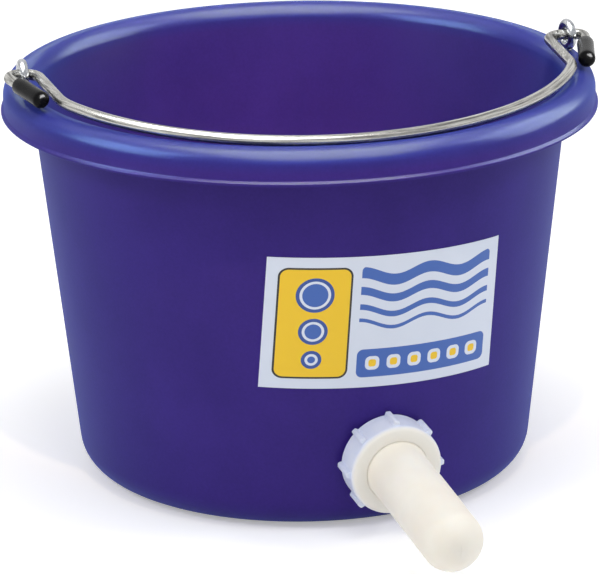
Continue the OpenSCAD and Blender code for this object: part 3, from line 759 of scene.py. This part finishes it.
# Coated label film, printed: a white gloss sheet with flat solid inks.
def labelFilm():
    ink = {"film": "#dbe3f3", "filmShade": "#d5deef", "sun": "#f2c71d", "night": "#1a1a1e",
           "sea": "#3a63b4", "seaDeep": "#2c4f9c"}
    # in mm on the sheet; a panel is its left, right, low and high edge and its corner's radius
    art = {"waves": (42, 109, 24, 60, 2), "waveSwing": 2.2, "waveLength": 33.5,
           "bands": ((55, 5.5), (46, 4.0), (38, 2.8), (31.5, 1.8)),  # height and thickness
           "card": (5, 38, 5, 60, 4.5), "cardFace": (5.9, 37.1, 5.9, 59.1, 3.7),
           "discX": 21.5, "discs": ((46.5, 8.5), (28.5, 6.5), (14.5, 4.5)),  # height and radius
           "rings": (("seaDeep", 0.0), ("film", 1.6), ("sea", 2.8)),  # ink and how far it is inset
           "strip": (42, 109, 5, 19, 3), "tiles": 6, "tileX": 49.5, "tileStep": 10.4, "tileY": 12.0,
           "tileInks": (("film", 3.4, 2.4), ("sun", 1.8, 1.2)),  # ink, half width and corner
           "cloudPerMm": 0.05}
    material, tree, shader = newMaterial("printedLabelFilm")
    sheet = addNode(tree, "ShaderNodeUVMap", {"uv_map": "UVMap"}).outputs["UV"]
    flat = addNode(tree, "ShaderNodeVectorMath", {"operation": "MULTIPLY"},
                   {0: sheet, 1: (label["width"], label["height"], 0)}).outputs["Vector"]
    axes = addNode(tree, "ShaderNodeSeparateXYZ", None, {"Vector": flat})

    def panel(left, right, low, high, corner):  # 1 inside a rectangle with round corners
        middle = ((left + right) / 2, (low + high) / 2, 0)
        core = ((right - left) / 2 - corner, (high - low) / 2 - corner, 0)
        past = flat
        for operation, amount in (("SUBTRACT", middle), ("ABSOLUTE", (0, 0, 0)), ("SUBTRACT", core),
                                  ("MAXIMUM", (0, 0, 0))):
            past = addNode(tree, "ShaderNodeVectorMath", {"operation": operation},
                           {0: past, 1: amount}).outputs["Vector"]
        far = addNode(tree, "ShaderNodeVectorMath", {"operation": "LENGTH"}, {0: past})
        return addNode(tree, "ShaderNodeMath", {"operation": "LESS_THAN"},
                       {0: far.outputs["Value"], 1: corner}).outputs[0]

    def tile(x, y, half, corner):  # a disc where the corner is as large as the half width
        return panel(x - half, x + half, y - half, y + half, corner)

    def wave(height, thick):  # 1 in a rolling band across the sheet
        turns = addNode(tree, "ShaderNodeMath", {"operation": "MULTIPLY"},
                        {0: axes.outputs["X"], 1: 2 * pi / art["waveLength"]})
        roll = addNode(tree, "ShaderNodeMath", {"operation": "SINE"}, {0: turns.outputs[0]})
        line = addNode(tree, "ShaderNodeMath", {"operation": "MULTIPLY_ADD"},
                       {0: roll.outputs[0], 1: art["waveSwing"], 2: height})
        return addNode(tree, "ShaderNodeMath", {"operation": "COMPARE"},
                       {0: axes.outputs["Y"], 1: line.outputs[0], 2: thick / 2}).outputs[0]

    def printOn(under, mask, inkName):
        return addNode(tree, "ShaderNodeMix", {"data_type": "RGBA"},
                       {"Factor": mask, "A": under, "B": linearColour(ink[inkName])}).outputs["Result"]

    cloud = addNode(tree, "ShaderNodeTexNoise", None,
                    {"Vector": flat, "Scale": art["cloudPerMm"], "Detail": 2.0})
    colour = addNode(tree, "ShaderNodeMix", {"data_type": "RGBA"},
                     {"Factor": cloud.outputs["Fac"], "A": linearColour(ink["filmShade"]),
                      "B": linearColour(ink["film"])}).outputs["Result"]
    waveField = panel(*art["waves"])
    for height, thick in art["bands"]:
        band = addNode(tree, "ShaderNodeMath", {"operation": "MULTIPLY"},
                       {0: waveField, 1: wave(height, thick)})
        colour = printOn(colour, band.outputs[0], "sea")
    colour = printOn(colour, panel(*art["card"]), "night")
    colour = printOn(colour, panel(*art["cardFace"]), "sun")
    for y, radius in art["discs"]:
        for inkName, inset in art["rings"]:
            colour = printOn(colour, tile(art["discX"], y, radius - inset, radius - inset), inkName)
    colour = printOn(colour, panel(*art["strip"]), "sea")
    for i in range(art["tiles"]):
        tileX = art["tileX"] + i * art["tileStep"]
        for inkName, half, corner in art["tileInks"]:
            colour = printOn(colour, tile(tileX, art["tileY"], half, corner), inkName)
    gloss = addNode(tree, "ShaderNodeMapRange", None,
                    {"Value": cloud.outputs["Fac"], "From Min": 0.3, "From Max": 0.7,
                     "To Min": 0.28, "To Max": 0.38})
    setSockets(tree, shader, {"Base Color": colour, "Roughness": gloss.outputs["Result"], "IOR": 1.48})
    return material


pickNothing()
bpy.ops.mesh.primitive_grid_add(x_subdivisions=label["columns"], y_subdivisions=label["rows"], size=mm)
labelSheet = nameActive("labelSheet")
upright = Matrix.Rotation(radians(label["tilt"]), 4, "Y") @ Matrix.Rotation(pi / 2, 4, "X")
place(labelSheet, upright @ Matrix.Diagonal((label["width"], label["height"], 1, 1)))
labelTurn = Matrix.Rotation(atan2(spoutZ.x, -spoutZ.y), 4, "Z")
labelOut = wallOut(label["centre"]) + label["standOff"]
facing = labelTurn @ Matrix.Translation((0, -labelOut * mm, label["centre"] * mm))
labelSheet.matrix_world = facing
applyModifier(labelSheet, "SHRINKWRAP", {"target": pailShell, "wrap_method": "PROJECT",
                                         "use_project_y": True, "use_positive_direction": True,
                                         "offset": (label["gap"] + label["thick"]) * mm})
place(labelSheet, facing)
applyModifier(labelSheet, "SOLIDIFY", {"thickness": label["thick"] * mm, "offset": -1})
smooth(labelSheet, angleDeg=40)
dress(labelSheet, "bucket", labelFilm(), ["front_label"])
print("label made")

# pieces whose CAD shape is already right keep it and get their finish
keptNodes = {"ball_retainer": spoutMaterial, "valve_ball": spoutMaterial, "spout_gasket": gasketMaterial,
             "left_eye_washer": zincMaterial, "right_eye_washer": zincMaterial,
             "left_eye_nut": zincMaterial, "right_eye_nut": zincMaterial}
for nodeName, material in keptNodes.items():
    node = frame["nodes"][nodeName]
    node.data.materials.clear()
    node.data.materials.append(material)
print("kept pieces finished:", len(keptNodes))

# floor, light and camera, in metres
studio = {"floorSize": 14.0, "floorDrop": 0.0005, "worldForLight": 0.56, "floorLift": 0.34,
          "lampAim": (0, 0, 0.1)}


def seenDirectly(tree, hidden, shown):  # one strength for light, another for the camera, gloss and glass
    path = addNode(tree, "ShaderNodeLightPath")
    seen = addNode(tree, "ShaderNodeMath", {"operation": "MAXIMUM"},
                   {0: path.outputs["Is Camera Ray"], 1: path.outputs["Is Glossy Ray"]})
    seenToo = addNode(tree, "ShaderNodeMath", {"operation": "MAXIMUM"},
                      {0: seen.outputs[0], 1: path.outputs["Is Transmission Ray"]})
    level = addNode(tree, "ShaderNodeMapRange", None,
                    {"Value": seenToo.outputs[0], "To Min": hidden, "To Max": shown})
    return level.outputs["Result"]


def turnFrom(at, aim):  # turns a lamp at one point towards another
    return (Vector(at) - Vector(aim)).to_track_quat("Z", "Y").to_euler()


# Matt card: nearly white, with a trace of mottle and a little lift where it is seen directly.
def paleCard():
    look = {"first": "#f6f6f6", "second": "#f9f9f9", "mottlePerMetre": 3.0}
    material, tree, shader = newMaterial("paleFloor")
    spot = addNode(tree, "ShaderNodeTexCoord").outputs["Object"]
    mottle = addNode(tree, "ShaderNodeTexNoise", None,
                     {"Vector": spot, "Scale": look["mottlePerMetre"], "Detail": 2.0})
    tint = addNode(tree, "ShaderNodeMix", {"data_type": "RGBA"},
                   {"Factor": mottle.outputs["Fac"], "A": linearColour(look["first"]),
                    "B": linearColour(look["second"])})
    setSockets(tree, shader, {"Base Color": tint.outputs["Result"], "Roughness": 0.9,
                              "Specular IOR Level": 0.1, "Emission Color": (1, 1, 1, 1),
                              "Emission Strength": seenDirectly(tree, 0.0, studio["floorLift"])})
    return material


pickNothing()
bpy.ops.mesh.primitive_plane_add(size=studio["floorSize"])
floor = nameActive("studioFloor")
place(floor, Matrix.Translation((0, 0, -studio["floorDrop"])))
floor.data.materials.append(paleCard())

world = bpy.data.worlds.new("studio")
bpy.context.scene.world = world
world.use_nodes = True
sky = world.node_tree
setSockets(sky, sky.nodes["Background"], {"Color": (1, 1, 1, 1),
                                          "Strength": seenDirectly(sky, studio["worldForLight"], 1.0)})

# fill lamps light every piece, the other groups only show as highlights on their own pieces
lamps = {
    "fill": {
        "sideLeft": {"at": (-1.25, -0.45, 1.15), "size": (0.4, 0.4), "power": 5.2},
        "sideRight": {"at": (1.25, -0.45, 1.15), "size": (0.4, 0.4), "power": 4.8},
        "frontTop": {"at": (-0.15, -0.95, 1.75), "size": (0.6, 0.6), "power": 1.5},
        "topSoft": {"at": (0.0, -0.25, 1.8), "size": (0.8, 0.8), "power": 8.6}},
    "pail": {
        "topBox": {"at": (0.0, -0.375, 1.35), "size": (1.3, 1.75), "power": 168.0, "tint": "#f0ffb4"},
        "topWide": {"at": (0.0, 0.1, 1.45), "size": (3.2, 2.2), "power": 140.0, "tint": "#e4f6e8"},
        "boxLeft": {"at": (-1.5, -0.1, 0.95), "size": (1.2, 1.0), "power": 100.0, "tint": "#b8ecff"},
        "boxRight": {"at": (1.4, 0.1, 0.85), "size": (1.4, 1.2), "power": 120.0, "tint": "#e0f4f4"},
        "frontStrip": {"at": (0.0, -2.0, 1.25), "size": (2.6, 0.9), "power": 42.0, "tint": "#5fb8ff"},
        "backStrip": {"at": (0.0, 1.7, 0.82), "size": (1.6, 0.28), "power": 11.0, "tint": "#e4ffd0"}},
    "wire": {
        "wireBox": {"at": (-0.55, -0.25, 1.4), "size": (1.5, 1.4), "power": 62.0, "tint": "#ffffff"}},
    "caps": {
        "endBox": {"at": (0.7, -1.2, 1.05), "size": (1.5, 1.2), "power": 480.0, "tint": "#ffffff"}}}
shinePieces = {"pail": [pailShell], "wire": [bailWire] + eyeBolts, "caps": tipCaps}
shineGroups = {}
for group, pieces in shinePieces.items():
    shineGroups[group] = bpy.data.collections.new(group + "Shine")
    for piece in pieces:
        shineGroups[group].objects.link(piece)
for group, groupLamps in lamps.items():
    for name, lamp in groupLamps.items():
        pickNothing()
        bpy.ops.object.light_add(type="AREA", location=lamp["at"])
        light = bpy.context.object
        light.name = name
        light.data.shape = "RECTANGLE"
        light.data.size, light.data.size_y = lamp["size"]
        light.data.energy = lamp["power"]
        light.rotation_euler = turnFrom(lamp["at"], studio["lampAim"])
        if group in shineGroups:
            light.visible_diffuse = False
            light.light_linking.receiver_collection = shineGroups[group]
            light.data.color = linearColour(lamp["tint"])[:3]
        else:
            light.visible_glossy = False

# a snooted lamp that lights the inside of the pail
snoot = {"at": (-0.1, -0.8, 1.6), "aim": (0.0, 0.02, 0.17), "beam": 10.0, "blend": 0.7, "power": 88.0,
         "radius": 0.06, "tint": "#ffe2b4"}
pickNothing()
bpy.ops.object.light_add(type="SPOT", location=snoot["at"])
snootLamp = bpy.context.object
snootLamp.name = "insideSnoot"
snootLamp.data.energy = snoot["power"]
snootLamp.data.spot_size = radians(snoot["beam"])
snootLamp.data.spot_blend = snoot["blend"]
snootLamp.data.shadow_soft_size = snoot["radius"]
snootLamp.data.color = linearColour(snoot["tint"])[:3]
snootLamp.visible_glossy = False
snootLamp.rotation_euler = turnFrom(snoot["at"], snoot["aim"])

# the camera, solved from the photograph's rim and base; its target is in millimetres
view = {"distance": 2.065, "elevation": 17.98, "azimuth": -12.8, "roll": -0.9, "targetX": -1.11,
        "targetZ": 84.28, "lens": 256.4, "sensor": 36.0, "clipEnd": 50}
bpy.ops.object.camera_add()
camera = bpy.context.object
camera.name = "photoCamera"
camera.data.lens = view["lens"]
camera.data.sensor_width = view["sensor"]
camera.data.clip_end = view["clipEnd"]
around = Matrix.Rotation(radians(view["azimuth"]), 4, "Z")
tipped = Matrix.Rotation(radians(90 - view["elevation"]), 4, "X")
aimed = around @ tipped @ Matrix.Rotation(radians(view["roll"]), 4, "Z")
target = around @ Vector((view["targetX"] * mm, 0, view["targetZ"] * mm))
camera.matrix_world = Matrix.Translation(target + aimed.to_3x3() @ Vector((0, 0, view["distance"]))) @ aimed
bpy.context.scene.camera = camera
bpy.context.scene.view_settings.view_transform = "Standard"
print("studio set")
